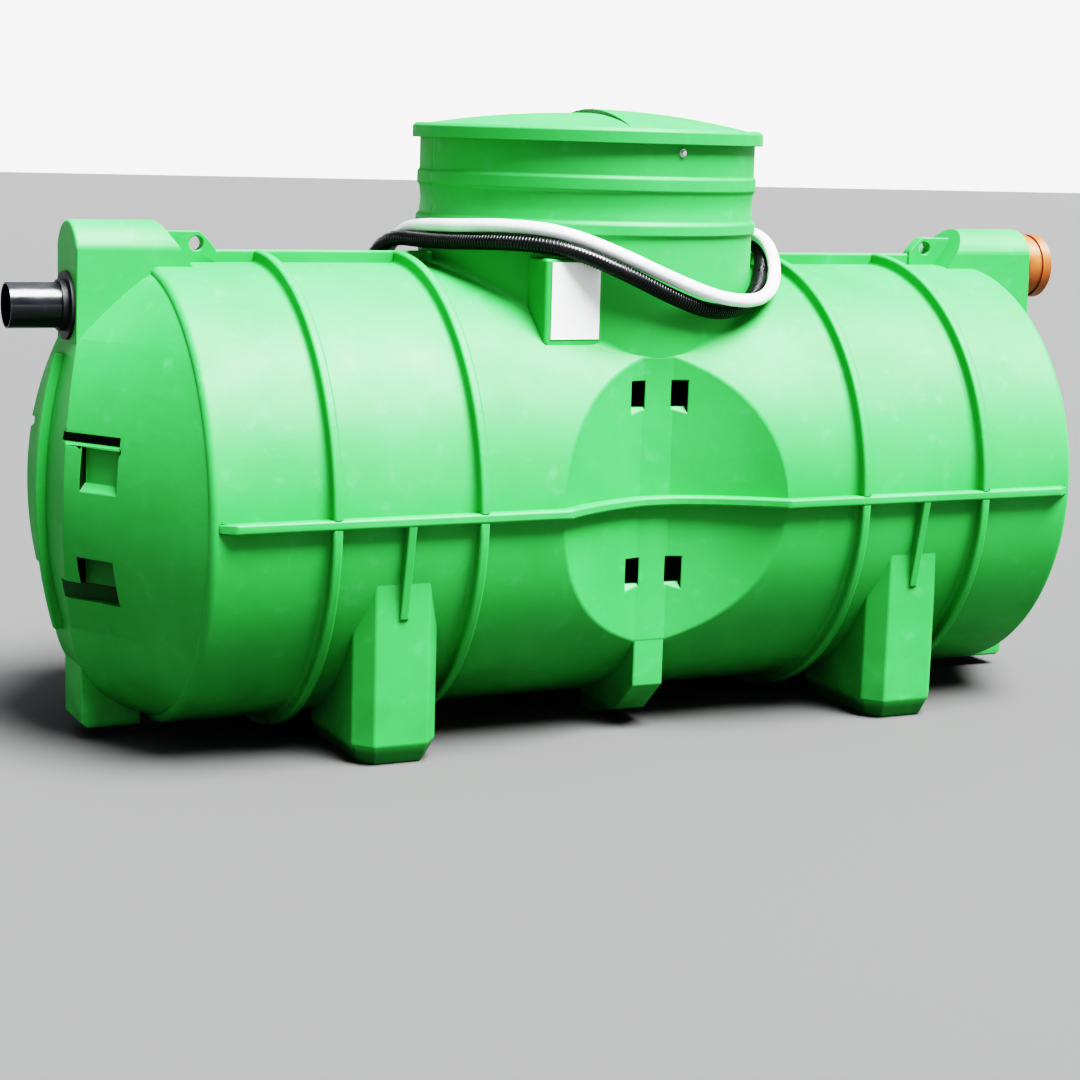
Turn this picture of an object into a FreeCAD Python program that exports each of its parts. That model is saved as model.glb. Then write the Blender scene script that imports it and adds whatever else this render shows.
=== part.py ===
import FreeCAD, Part
import math
import os

from FreeCAD import Vector

os.makedirs("parts", exist_ok=True)

# All sizes are in millimetres. X runs along the tank, +Y points to the back and +Z up.
# The floor is at z = 0. Sizes that end in _z are heights over the tank's long axis.

# Moulded barrel
barrel_radius = 570.0
wall = 10.0
barrel_half_length = 1208.0
edge_round = 18.0

# Hoop ribs, mid flange and top spine
rib_height = 30.0
rib_width = 24.0
neck_rib_gap = 98.0
rib_pitch = 372.0
flange_height = 30.0
flange_thickness = 24.0
flange_taper = 35.0
flange_tip = 2.0
spine_width = 24.0
spine_height = 30.0

# Waist: hollow cheeks on both long sides that meet a narrow upright strip, flush with the neck
strip_half_width = 43.0
waist_half_width = 316.0
waist_bow = 14.5

# Strap tunnels behind the strip, one above and one below the flange
tunnel_half_width = 80.0
tunnel_depth = 50.0
tunnel_undercut = 5.0
strip_bridge = 14.0
upper_tunnel_z = 270.0
lower_tunnel_z = -180.0
tunnel_height = 65.0

# Curved ends: a lens-shaped band, widest at its crown, between two ruled cheeks
end_depth = 238.0
end_crown_z = 40.0
end_crown_half = 178.0
end_band_half = 84.0
end_lens_half_height = 350.0
end_upper_depth = 178.0
end_lower_depth = 198.0
end_lead = 18.0
end_upper_bow = 6.0
end_lower_bow = 46.0

# Rib and foot in the middle of each end
end_rib_width = 24.0
end_rib_height = 24.0
end_rib_top_z = 350.0
end_rib_bottom_z = -330.0
end_foot_half = 78.0
end_foot_reach = 170.0
end_foot_inner = 20.0
end_foot_top_z = -385.0
end_foot_bevel = 14.0

# Hand pockets in the cheeks: a deep slot with a shallower step beside it
pocket_length = 165.0
pocket_out = 60.0
slot_depth_near = 26.0
slot_depth_far = 50.0
step_start = 52.0
step_depth = 18.0
pocket_ledge = 12.0
upper_slot_z = (145.0, 178.0)
upper_step_z = (50.0, 150.0)
lower_slot_z = (-239.0, -183.0)
lower_step_z = (-200.0, -118.0)

# Pipe housings on top of the ends
housing_half_width = 90.0
housing_reach = 182.0
housing_rise = 100.0
housing_arch_rise = 63.0
housing_inner_inset = 32.0
housing_slope = 0.68

# Pipes
outlet_stub = 147.0
outlet_radius = 55.0
outlet_wall = 4.0
outlet_lift = 75.0
outlet_inside = 12.0
outlet_collar = 1.5
outlet_collar_show = 2.0
seal_radius = 83.0
seal_thickness = 8.0
seal_lip = 5.0
seal_lip_length = 15.0
outlet_hole_clearance = 8.0
inlet_stub = 75.0
inlet_bore_radius = 80.5
inlet_wall = 4.5
inlet_drop = 103.0
inlet_bore_depth = 95.0
inlet_inside = 30.0
inlet_bead_height = 5.0
inlet_bead_length = 28.0
inlet_groove_length = 14.0

# Lifting lugs
lug_thickness = 34.0
lug_hole_radius = 18.0
lug_gap = 104.0
lug_rise = 45.0
lug_flat = 9.0
lug_round = 29.0
lug_tail = 22.0

# Neck, riser and lid
neck_radius = 440.0
neck_rise = 92.0
riser_height = 253.0
lower_ring_height = 26.0
lower_ring_out = 8.0
mid_ring_lift = 110.0
mid_ring_height = 30.0
mid_ring_out = 6.0
riser_waist_in = 4.0
lid_overhang = 20.0
lid_overlap = 27.0
lid_deck = 11.0
lid_dome_height = 47.0
lid_step = 11.0
lid_step_turn = -101.6
lid_wall = 8.0
lid_clearance = 2.0
lid_shelf = 20.0

# Label box on the neck
label_box_left = 310.0
label_box_set_back = 27.0
label_box_drop = 58.0
plate_width = 132.0
plate_thickness = 2.0
plate_margin = 18.0
plate_lift = 14.0
plate_top_gap = 8.0

# Feet
foot_half_width = 109.0
foot_set_back = 22.0
foot_depth = 332.0
foot_corner_x = 40.0
foot_corner_y = 50.0
foot_bevel = 50.0
fin_width = 22.0
fin_foot_out = 6.0
fin_drop = 243.0
toe_rise = 90.0
toe_knee_in = 90.0
toe_knee_height = 38.0
toe_heel_in = 225.0
toe_back_in = 290.0

# Hoses round the neck
air_hose_radius = 17.0
conduit_radius = 20.0
hose_rest_clearance = 2.5
gland_lip = 5.0
gland_stub = 130.0

# Values that follow from those above
axis_z = barrel_radius + rib_height
rib_radius = barrel_radius + rib_height
inner_rib_x = neck_radius + neck_rib_gap
outer_rib_x = inner_rib_x + rib_pitch
strip_reach = neck_radius
strip_depth = barrel_radius - strip_reach
waist_run = waist_half_width - strip_half_width
cheek_chord = math.hypot(waist_run, strip_depth)
cheek_radius = (0.25 * cheek_chord * cheek_chord + waist_bow * waist_bow) / (2.0 * waist_bow)
cheek_lift = (cheek_radius - waist_bow) / cheek_chord
cheek_centre_x = 0.5 * (strip_half_width + waist_half_width) - cheek_lift * strip_depth
cheek_centre_y = -0.5 * (strip_reach + barrel_radius) - cheek_lift * waist_run
end_radius = barrel_radius - edge_round
housing_top_z = barrel_radius + housing_rise
housing_inner_top_x = barrel_half_length - housing_inner_inset
outlet_z = end_crown_z + end_lens_half_height + outlet_lift
inlet_z = housing_top_z - inlet_drop
lug_x = housing_inner_top_x - lug_gap
neck_top_z = barrel_radius + neck_rise
riser_top_z = neck_top_z + riser_height
left_reach = housing_reach + outlet_stub
right_reach = max(housing_reach + inlet_stub, end_depth + end_rib_height)
centre_shift = 0.5 * (left_reach - right_reach)
far = 3.0 * barrel_radius


def box(x0, x1, y0, y1, z0, z1):
    return Part.makeBox(x1 - x0, y1 - y0, z1 - z0, Vector(x0, y0, z0))


def along_x(radius, x0, x1, z):
    return Part.makeCylinder(radius, x1 - x0, Vector(x0, 0, z), Vector(1, 0, 0))


def upright(radius, z0, z1):
    return Part.makeCylinder(radius, z1 - z0, Vector(0, 0, z0), Vector(0, 0, 1))


def prism(points, direction):
    outline = Part.makePolygon(points + [points[0]])
    return Part.Face(outline).extrude(direction)


def turned(points, base, axis, angle):
    outline = Part.makePolygon(points + [points[0]])
    return Part.Face(outline).revolve(base, axis, angle)


def other_end(shape):
    return shape.mirror(Vector(0, 0, 0), Vector(1, 0, 0))


def other_side(shape):
    return shape.mirror(Vector(0, 0, 0), Vector(0, 1, 0))


# Each node is moved along the tank so that the origin lies midway between the two farthest tips
def save(name, shapes):
    if not isinstance(shapes, list):
        shapes = [shapes]
    solids = []
    for shape in shapes:
        solids.extend(shape.Solids)
    result = solids[0] if len(solids) == 1 else Part.makeCompound(solids)
    result = result.copy()
    result.translate(Vector(centre_shift, 0, 0))
    result.exportStep("parts/" + name + ".step")
    print(name, len(solids), round(result.Volume / 1e6, 3), result.isValid())


# Point of a hollow cheek at a given depth, with the cheek moved out by a given amount
def on_cheek(out, y):
    radius = cheek_radius - out
    rise = y - cheek_centre_y
    return Vector(cheek_centre_x + math.sqrt(radius * radius - rise * rise), y, 0)


# Edges of one cheek, the strip and the other cheek, in order from -X to +X
def waist_line(out, outer_y):
    strip_y = -strip_reach - out
    bend = on_cheek(out, strip_y)
    middle = on_cheek(out, 0.5 * (strip_y + outer_y))
    rim = on_cheek(out, outer_y)
    flip = [Vector(-point.x, point.y, 0) for point in (rim, middle, bend)]
    return [
        Part.Arc(flip[0], flip[1], flip[2]).toShape(),
        Part.makeLine(flip[2], bend),
        Part.Arc(bend, middle, rim).toShape(),
    ]


# The recess that the waist takes out of one long side, grown inward by a wall where asked
def recess(grow):
    rim = on_cheek(-grow, -rib_radius)
    outside = Part.makePolygon([
        rim,
        Vector(rim.x, -far, 0),
        Vector(-rim.x, -far, 0),
        Vector(-rim.x, rim.y, 0),
    ])
    outline = Part.Wire(waist_line(-grow, -rib_radius) + outside.Edges)
    return Part.Face(outline).extrude(Vector(0, 0, 2.0 * axis_z))


# Solid barrel form between two stations, with both waist recesses, at a given inward offset
def barrel_form(x0, x1, grow):
    form = along_x(barrel_radius - grow, x0, x1, axis_z)
    front = recess(grow)
    return form.cut(front).cut(other_side(front))


# Crest between a cheek and the middle band of an end: it bulges at the crown of the lens
def crest_arc(side, grow):
    upper = -barrel_half_length - end_upper_depth + grow
    lower = -barrel_half_length - end_lower_depth + grow
    tip = -barrel_half_length - end_depth + grow
    band = side * (end_band_half - grow)
    crown = side * (end_crown_half - grow)
    half = end_lens_half_height - 0.3 * grow
    middle = axis_z + end_crown_z
    return Part.Arc(Vector(upper, band, middle + half), Vector(tip, crown, middle),
                    Vector(lower, band, middle - half)).toShape()


# Arc between two points of an upright plane that stands out from its chord
def bowed(start, finish, out):
    chord = finish.sub(start)
    chord.normalize()
    middle = start.add(finish).multiply(0.5)
    peak = middle.add(Vector(chord.z, 0, -chord.x).multiply(out))
    return Part.Arc(start, peak, finish).toShape()


# Curved end: ruled cheeks run from the barrel's round edge to the lens-shaped band in the middle
def end_form(grow):
    radius = end_radius - grow
    band = end_band_half - grow
    x0 = -barrel_half_length
    upper_x = x0 - end_upper_depth + grow
    lower_x = x0 - end_lower_depth + grow
    half = end_lens_half_height - 0.3 * grow
    upper_z = end_crown_z + half
    lower_z = end_crown_z - half
    edge_z = math.sqrt(radius * radius - band * band)
    lead_x = x0 - end_lead
    lead_z = edge_z - 0.5 * end_lead
    first_turn = math.asin(band / radius)
    upper_turn = math.acos(upper_z / radius)
    lower_turn = math.acos(lower_z / radius)

    def at(x, y, z):
        return Vector(x, y, axis_z + z)

    def ring_arc(side, start, finish):
        points = []
        for turn in (start, 0.5 * (start + finish), finish):
            points.append(at(x0, side * radius * math.sin(turn), radius * math.cos(turn)))
        return Part.Arc(points[0], points[1], points[2]).toShape()

    def rounds(side):
        first = ring_arc(side, first_turn, upper_turn)
        second = ring_arc(side, upper_turn, lower_turn)
        third = ring_arc(side, lower_turn, math.pi - first_turn)
        return [first, second, third]

    def crests(side):
        y = side * band
        first = bowed(at(lead_x, y, lead_z), at(upper_x, y, upper_z), end_upper_bow)
        third = bowed(at(lower_x, y, lower_z), at(lead_x, y, -lead_z), end_lower_bow)
        return [first, crest_arc(side, grow), third]

    front_rounds = rounds(-1)
    back_rounds = rounds(1)
    front_crests = crests(-1)
    back_crests = crests(1)
    faces = []
    for index in range(3):
        faces.append(Part.makeRuledSurface(front_rounds[index], front_crests[index]))
        faces.append(Part.makeRuledSurface(back_rounds[index], back_crests[index]))
        faces.append(Part.makeRuledSurface(front_crests[index], back_crests[index]))
    for side in (1, -1):
        cap = Part.Arc(at(x0, -band, side * edge_z), at(x0, 0, side * radius), at(x0, band, side * edge_z))
        edge = Part.LineSegment(at(lead_x, -band, side * lead_z), at(lead_x, band, side * lead_z))
        faces.append(Part.makeRuledSurface(cap.toShape(), edge.toShape()))
    ring = Part.Circle(at(x0, 0, 0), Vector(1, 0, 0), radius)
    faces.append(Part.Face(Part.Wire(ring.toShape())))
    shell = Part.makeShell(faces)
    shell.sewShape()
    solid = Part.makeSolid(shell)
    if solid.Volume < 0:
        solid.reverse()
    return solid


left_end_outer = end_form(0.0)
left_end_inner = end_form(wall)

# Barrel walls outside the waist: one quarter is turned and the other seven are its mirror images
edge_profile_arc = Part.Arc(
    Vector(-barrel_half_length + edge_round, 0, axis_z + barrel_radius),
    Vector(
        -barrel_half_length + edge_round * (1.0 - math.sqrt(0.5)),
        0,
        axis_z + barrel_radius - edge_round * (1.0 - math.sqrt(0.5)),
    ),
    Vector(-barrel_half_length, 0, axis_z + end_radius),
).toShape()
quarter_lines = Part.makePolygon([
    Vector(-barrel_half_length, 0, axis_z + end_radius),
    Vector(-barrel_half_length, 0, axis_z + end_radius - wall),
    Vector(-barrel_half_length + edge_round, 0, axis_z + barrel_radius - wall),
    Vector(-inner_rib_x, 0, axis_z + barrel_radius - wall),
    Vector(-inner_rib_x, 0, axis_z + barrel_radius),
    Vector(-barrel_half_length + edge_round, 0, axis_z + barrel_radius),
])
quarter_face = Part.Face(Part.Wire([edge_profile_arc] + quarter_lines.Edges))
quarter = quarter_face.revolve(Vector(0, 0, axis_z), Vector(1, 0, 0), 90)
lower_quarter = quarter.mirror(Vector(0, 0, axis_z), Vector(0, 0, 1))
save("barrel_left_upper_front", quarter)
save("barrel_left_upper_back", other_side(quarter))
save("barrel_left_lower_front", lower_quarter)
save("barrel_left_lower_back", other_side(lower_quarter))
save("barrel_right_upper_front", other_end(quarter))
save("barrel_right_upper_back", other_side(other_end(quarter)))
save("barrel_right_lower_front", other_end(lower_quarter))
save("barrel_right_lower_back", other_side(other_end(lower_quarter)))

# Waist walls between the inner ribs, with the round hole for the neck and the strap tunnels,
# whose mouths have sloping sills
waist_outer = barrel_form(-inner_rib_x, inner_rib_x, 0.0)
waist_inner = barrel_form(-inner_rib_x, inner_rib_x, wall)
waist_shell = waist_outer.cut(waist_inner)
waist_shell = waist_shell.cut(upright(neck_radius - wall, axis_z, axis_z + far))
tunnel_back_y = -strip_reach + tunnel_depth
for tunnel_z in (upper_tunnel_z, lower_tunnel_z):
    low = axis_z + tunnel_z - 0.5 * tunnel_height
    high = low + tunnel_height
    pan = box(-tunnel_half_width - wall, tunnel_half_width + wall, -barrel_radius, tunnel_back_y + wall,
              low - 2.0 * wall, high + wall)
    pan = pan.common(waist_outer)
    passage = box(-tunnel_half_width, tunnel_half_width, -strip_reach + strip_bridge, tunnel_back_y,
                  low, high)
    mouth_x = strip_half_width - tunnel_undercut
    sill_y = -strip_reach + 0.5 * strip_bridge
    mouth_points = [
        Vector(mouth_x, tunnel_back_y, low),
        Vector(mouth_x, sill_y, low),
        Vector(mouth_x, -barrel_radius, low - barrel_radius - sill_y),
        Vector(mouth_x, -barrel_radius, high),
        Vector(mouth_x, tunnel_back_y, high),
    ]
    mouth = prism(mouth_points, Vector(tunnel_half_width - mouth_x, 0, 0))
    for side in (1, 2):
        waist_shell = waist_shell.fuse(pan)
        waist_shell = waist_shell.cut(passage).cut(mouth).cut(other_end(mouth))
        pan = other_side(pan)
        passage = other_side(passage)
        mouth = other_side(mouth)
front_half = box(-far, far, -far, 0, -far, far)
upper_half = box(-far, far, -far, far, axis_z, far + axis_z)
waist_front = waist_shell.common(front_half)
waist_upper_front = waist_front.common(upper_half)
waist_lower_front = waist_front.cut(upper_half)
save("waist_upper_front", waist_upper_front)
save("waist_upper_back", other_side(waist_upper_front))
save("waist_lower_front", waist_lower_front)
save("waist_lower_back", other_side(waist_lower_front))


# Point of the crest at a given height, found by halving the arc
def crest_at(z):
    arc = crest_arc(-1, 0.0)
    low = arc.FirstParameter
    high = arc.LastParameter
    top_first = arc.valueAt(low).z > arc.valueAt(high).z
    for count in range(40):
        middle = 0.5 * (low + high)
        above = arc.valueAt(middle).z > axis_z + z
        if above == top_first:
            low = middle
        else:
            high = middle
    return arc.valueAt(low)


# One hand pocket, first square to X along its cheek: u runs from the crest, w into the cheek.
# The lower faces slope as ledges where the form isn't grown.
def pocket_form(slot, step, grow):
    slot_far = slot_depth_far + grow
    slope = (slot_depth_far - slot_depth_near) / pocket_length
    slot_start = slot_depth_near + grow - slope * pocket_out
    length = pocket_length + grow
    low = slot[0] - grow - pocket_out
    slot_plan = [
        Vector(-pocket_out, -pocket_out, low),
        Vector(length, -pocket_out, low),
        Vector(length, slot_far, low),
        Vector(-pocket_out, slot_start, low),
    ]
    slot_cut = prism(slot_plan, Vector(0, 0, slot[1] + grow - low))
    step_cut = box(step_start - grow, length, -pocket_out, step_depth + grow, step[0] - grow - pocket_out,
                   step[1] + grow)
    forms = []
    for form, bottom in ((slot_cut, slot[0]), (step_cut, step[0])):
        ledge_z = bottom + pocket_ledge
        ledge = [
            Vector(-far, -pocket_out, bottom - pocket_out),
            Vector(-far, pocket_ledge, ledge_z),
            Vector(-far, far, ledge_z),
            Vector(-far, far, -far),
            Vector(-far, -pocket_out, -far),
        ]
        below = prism(ledge, Vector(2.0 * far, 0, 0))
        if grow > 0.0:
            below = box(-far, far, -far, far, -far, bottom - grow)
        forms.append(form.cut(below))
    form = forms[0].fuse(forms[1])
    middle = 0.5 * (slot[0] + step[1]) if slot[0] < step[0] else 0.5 * (slot[1] + step[0])
    crest = crest_at(middle)
    ring_y = -math.sqrt(end_radius * end_radius - middle * middle)
    turn = math.degrees(math.atan2(ring_y - crest.y, -barrel_half_length - crest.x))
    form.rotate(Vector(0, 0, 0), Vector(0, 0, 1), turn)
    form.translate(Vector(crest.x, crest.y, axis_z))
    return form


# Ends: curved shells that meet the barrel's rounded edges face to face, with four hand pockets each
left_end = left_end_outer.cut(left_end_inner)
for slot, step in ((upper_slot_z, upper_step_z), (lower_slot_z, lower_step_z)):
    pocket = pocket_form(slot, step, 0.0)
    pocket_pan = pocket_form(slot, step, wall).common(left_end_outer)
    left_end = left_end.fuse(pocket_pan).fuse(other_side(pocket_pan))
    left_end = left_end.cut(pocket).cut(other_side(pocket))
save("left_end", left_end)
save("right_end", other_end(left_end))

# Hoop ribs, parted where the flange and the spine pass
spine_slot = box(-far, far, -0.5 * spine_width, 0.5 * spine_width, axis_z, far)
flange_slot = box(-far, far, -far, far, axis_z - 0.5 * flange_thickness, axis_z + 0.5 * flange_thickness)


def hoop(x):
    ring = along_x(rib_radius, x - 0.5 * rib_width, x + 0.5 * rib_width, axis_z)
    ring = ring.cut(along_x(barrel_radius, x - rib_width, x + rib_width, axis_z))
    return ring.cut(spine_slot).cut(flange_slot)


save("hoop_rib_1", hoop(-outer_rib_x))
save("hoop_rib_2", hoop(-inner_rib_x))
save("hoop_rib_3", hoop(inner_rib_x))
save("hoop_rib_4", hoop(outer_rib_x))

# Mid flange: follows the barrel and bends in along the cheeks of the waist
body_form = barrel_form(-barrel_half_length, barrel_half_length, 0.0)
flange_y = -barrel_radius - flange_height
flange_turn = on_cheek(flange_height, flange_y)
inside_y = -strip_reach + wall
flange_end = barrel_half_length - edge_round
flange_lines = Part.makePolygon([
    flange_turn,
    Vector(flange_end - flange_taper, flange_y, 0),
    Vector(flange_end, -barrel_radius - flange_tip, 0),
    Vector(flange_end, inside_y, 0),
    Vector(-flange_end, inside_y, 0),
    Vector(-flange_end, -barrel_radius - flange_tip, 0),
    Vector(-flange_end + flange_taper, flange_y, 0),
    Vector(-flange_turn.x, flange_y, 0),
])
flange_outline = Part.Wire(waist_line(flange_height, flange_y) + flange_lines.Edges)
flange = Part.Face(flange_outline).extrude(Vector(0, 0, flange_thickness))
flange.translate(Vector(0, 0, axis_z - 0.5 * flange_thickness))
flange = flange.cut(body_form)
save("mid_flange_front", flange)
save("mid_flange_back", other_side(flange))


# Housings over the pipes: flat sides, arched roof, leaning inner face, open towards the tank
def housing_form(grow):
    half = housing_half_width - grow
    chord = housing_half_width
    arch_radius = (chord * chord + housing_arch_rise * housing_arch_rise) / (2.0 * housing_arch_rise)
    centre_z = axis_z + housing_top_z - arch_radius
    roof = arch_radius - grow
    spring_z = centre_z + math.sqrt(roof * roof - half * half)
    x0 = -barrel_half_length - housing_reach + grow
    x1 = -barrel_half_length + 3.0 * housing_half_width
    arch = Part.Arc(Vector(x0, half, spring_z), Vector(x0, 0, centre_z + roof), Vector(x0, -half, spring_z))
    sides = Part.makePolygon([
        Vector(x0, -half, spring_z),
        Vector(x0, -half, axis_z),
        Vector(x0, half, axis_z),
        Vector(x0, half, spring_z),
    ])
    front = Part.Face(Part.Wire([arch.toShape()] + sides.Edges))
    block = front.extrude(Vector(x1 - x0, 0, 0))
    lean = grow * math.sqrt(1.0 + housing_slope * housing_slope)
    top_x = -housing_inner_top_x - lean
    slope_points = [
        Vector(top_x - housing_slope * far, -far, axis_z + housing_top_z + far),
        Vector(top_x + housing_slope * (housing_top_z + wall), -far, axis_z - wall),
        Vector(far, -far, axis_z - wall),
        Vector(far, -far, axis_z + housing_top_z + far),
    ]
    return block.cut(prism(slope_points, Vector(0, 2.0 * far, 0)))


barrel_outer = along_x(barrel_radius, -flange_end, flange_end, axis_z)
barrel_edge = along_x(end_radius, -barrel_half_length, barrel_half_length, axis_z)
edge_quarter = Part.Face(Part.Wire([
    edge_profile_arc,
    Part.makeLine(Vector(-barrel_half_length, 0, axis_z + end_radius),
                  Vector(-barrel_half_length + edge_round, 0, axis_z + end_radius)),
    Part.makeLine(Vector(-barrel_half_length + edge_round, 0, axis_z + end_radius),
                  Vector(-barrel_half_length + edge_round, 0, axis_z + barrel_radius)),
]))
edge_bead = edge_quarter.revolve(Vector(0, 0, axis_z), Vector(1, 0, 0), 360)
left_body = barrel_outer.fuse(barrel_edge).fuse(edge_bead).fuse(left_end_outer)
housing_outer = housing_form(0.0)
left_housing = housing_outer.cut(housing_form(wall)).cut(left_body)
face_x = -barrel_half_length - housing_reach
outlet_hole_radius = outlet_radius + outlet_collar + outlet_hole_clearance
outlet_hole = along_x(outlet_hole_radius, face_x - wall, face_x + 3.0 * wall, axis_z + outlet_z)
inlet_outer_radius = inlet_bore_radius + inlet_wall
inlet_hole = along_x(inlet_outer_radius, face_x - wall, face_x + 3.0 * wall, axis_z + inlet_z)
save("outlet_housing", left_housing.cut(outlet_hole))
save("inlet_housing", other_end(left_housing.cut(inlet_hole)))

# Outlet pipe, thicker at its root, and the rubber seal whose lip grips it there
pipe_tip = face_x - outlet_stub
pipe_root = face_x + outlet_inside
seal_face = face_x - seal_thickness
lip_end = seal_face - seal_lip_length
collar_radius = outlet_radius + outlet_collar
pipe = along_x(outlet_radius, pipe_tip, pipe_root, axis_z + outlet_z)
collar = along_x(collar_radius, lip_end - outlet_collar_show, pipe_root, axis_z + outlet_z)
pipe = pipe.fuse(collar).removeSplitter()
pipe = pipe.cut(along_x(outlet_radius - outlet_wall, pipe_tip - wall, pipe_root + wall, axis_z + outlet_z))
save("outlet_pipe", pipe)
seal = along_x(seal_radius, seal_face, face_x, axis_z + outlet_z)
lip = along_x(collar_radius + seal_lip, lip_end, seal_face, axis_z + outlet_z)
seal = seal.fuse(lip).removeSplitter()
seal = seal.cut(along_x(collar_radius, pipe_tip, face_x + wall, axis_z + outlet_z))
save("outlet_seal", seal)

# Orange inlet socket: a bead at its mouth, then a groove and a second bead against the housing
socket_mouth = -face_x + inlet_stub
socket_floor = socket_mouth - inlet_bore_depth
groove_end = socket_mouth - inlet_bead_length
groove_start = groove_end - inlet_groove_length
bead_radius = inlet_outer_radius + inlet_bead_height
socket = along_x(inlet_outer_radius, -face_x - inlet_inside, socket_mouth, axis_z + inlet_z)
socket = socket.fuse(along_x(bead_radius, groove_end, socket_mouth, axis_z + inlet_z))
socket = socket.fuse(along_x(bead_radius, -face_x, groove_start, axis_z + inlet_z)).removeSplitter()
socket = socket.cut(along_x(inlet_bore_radius, socket_floor, socket_mouth + wall, axis_z + inlet_z))
socket = socket.cut(along_x(inlet_bore_radius - inlet_wall, 0, socket_floor + wall, axis_z + inlet_z))
save("inlet_socket", socket)

# Lifting lugs between each housing and the spine, each with a round eye
spine_top = axis_z + barrel_radius + spine_height
eye_z = spine_top + 0.35 * lug_rise
lug_top = spine_top + lug_rise
lug_y = -0.5 * lug_thickness
lug_low = axis_z + barrel_radius - wall
lug_end = -lug_x + lug_round + lug_tail
lug_shoulder = Part.Arc(
    Vector(-lug_x + lug_flat, lug_y, lug_top),
    Vector(-lug_x + lug_round, lug_y, lug_top - 0.4 * lug_rise),
    Vector(lug_end, lug_y, spine_top),
).toShape()
lug_lines = Part.makePolygon([
    Vector(lug_end, lug_y, spine_top),
    Vector(lug_end, lug_y, lug_low),
    Vector(-housing_inner_top_x, lug_y, lug_low),
    Vector(-housing_inner_top_x, lug_y, lug_top),
    Vector(-lug_x + lug_flat, lug_y, lug_top),
])
lug = Part.Face(Part.Wire([lug_shoulder] + lug_lines.Edges)).extrude(Vector(0, lug_thickness, 0))
eye_start = Vector(-lug_x, -lug_thickness, eye_z)
lug_eye = Part.makeCylinder(lug_hole_radius, 2.0 * lug_thickness, eye_start, Vector(0, 1, 0))
lug = lug.cut(lug_eye).cut(left_body).cut(housing_outer)
save("lifting_lugs", [lug, other_end(lug)])

# Top spine from each lug to the neck
spine = box(lug_end, 0, -0.5 * spine_width, 0.5 * spine_width, axis_z, spine_top)
spine = spine.cut(along_x(barrel_radius, -far, far, axis_z)).cut(upright(neck_radius, 0, far + axis_z))
save("top_spine_left", spine)
save("top_spine_right", other_end(spine))

# Neck: upright round wall that stands on the barrel
neck = upright(neck_radius, axis_z, axis_z + neck_top_z).cut(upright(neck_radius - wall, 0, far + axis_z))
neck = neck.cut(along_x(barrel_radius, -far, far, axis_z))
neck_front = neck.common(front_half)
save("neck_front", neck_front)
save("neck_back", other_side(neck_front))

# Riser: turned profile with a lower ring, a slight waist and a mid ring
mid_ring_z = neck_top_z + mid_ring_lift
riser_points = [
    (neck_radius - wall, neck_top_z),
    (neck_radius + lower_ring_out, neck_top_z),
    (neck_radius + lower_ring_out, neck_top_z + lower_ring_height),
    (neck_radius, neck_top_z + lower_ring_height + lower_ring_out),
    (neck_radius - riser_waist_in, 0.5 * (neck_top_z + lower_ring_height + mid_ring_z)),
    (neck_radius, mid_ring_z - mid_ring_out),
    (neck_radius + mid_ring_out, mid_ring_z),
    (neck_radius + mid_ring_out, mid_ring_z + mid_ring_height),
    (neck_radius, mid_ring_z + mid_ring_height + mid_ring_out),
    (neck_radius, riser_top_z),
    (neck_radius - wall, riser_top_z),
]
riser_outline = [Vector(r, 0, axis_z + z) for r, z in riser_points]
riser_back = turned(riser_outline, Vector(0, 0, 0), Vector(0, 0, 1), 180)
save("riser_back", riser_back)
save("riser_front", other_side(riser_back))

# Lid: shallow dome with a deep rim that drops over the riser. One half is domed a little higher,
# which leaves a step across the middle that runs out at the rim.
lid_rim_radius = neck_radius + lid_overhang
lid_dome_radius = neck_radius - lid_shelf
lid_rim_top_z = riser_top_z + lid_deck
lid_rim_bottom_z = riser_top_z - lid_overlap
skirt_in = neck_radius + lid_clearance
lid_bevel_r = lid_rim_radius - lid_wall
lid_bevel_z = lid_rim_top_z - lid_wall


def at_lid(r, z):
    return Vector(r, 0, axis_z + z)


def dome_arc(rim_z, rise):
    sphere = (lid_dome_radius * lid_dome_radius + rise * rise) / (2.0 * rise)
    half_r = 0.5 * lid_dome_radius
    half_z = rim_z + rise - sphere + math.sqrt(sphere * sphere - half_r * half_r)
    return Part.Arc(at_lid(0, rim_z + rise), at_lid(half_r, half_z), at_lid(lid_dome_radius, rim_z)).toShape()


def lid_half(rise, turn):
    under = lid_dome_height - lid_step
    rim = Part.makePolygon([
        at_lid(lid_dome_radius, lid_rim_top_z),
        at_lid(lid_bevel_r, lid_rim_top_z),
        at_lid(lid_rim_radius, lid_bevel_z),
        at_lid(lid_rim_radius, lid_rim_bottom_z),
        at_lid(skirt_in, lid_rim_bottom_z),
        at_lid(skirt_in, riser_top_z),
        at_lid(lid_dome_radius, riser_top_z),
    ])
    hub = Part.makeLine(at_lid(0, riser_top_z + under), at_lid(0, lid_rim_top_z + rise))
    edges = [dome_arc(lid_rim_top_z, rise)] + rim.Edges + [dome_arc(riser_top_z, under), hub]
    outline = Part.Wire(Part.__sortEdges__(edges))
    half = Part.Face(outline).revolve(Vector(0, 0, 0), Vector(0, 0, 1), 180)
    half.rotate(Vector(0, 0, 0), Vector(0, 0, 1), turn)
    return half


high_half = lid_half(lid_dome_height, lid_step_turn)
low_half = lid_half(lid_dome_height - lid_step, lid_step_turn + 180.0)
lid = high_half.fuse(low_half).removeSplitter()
save("lid", lid)

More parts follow.
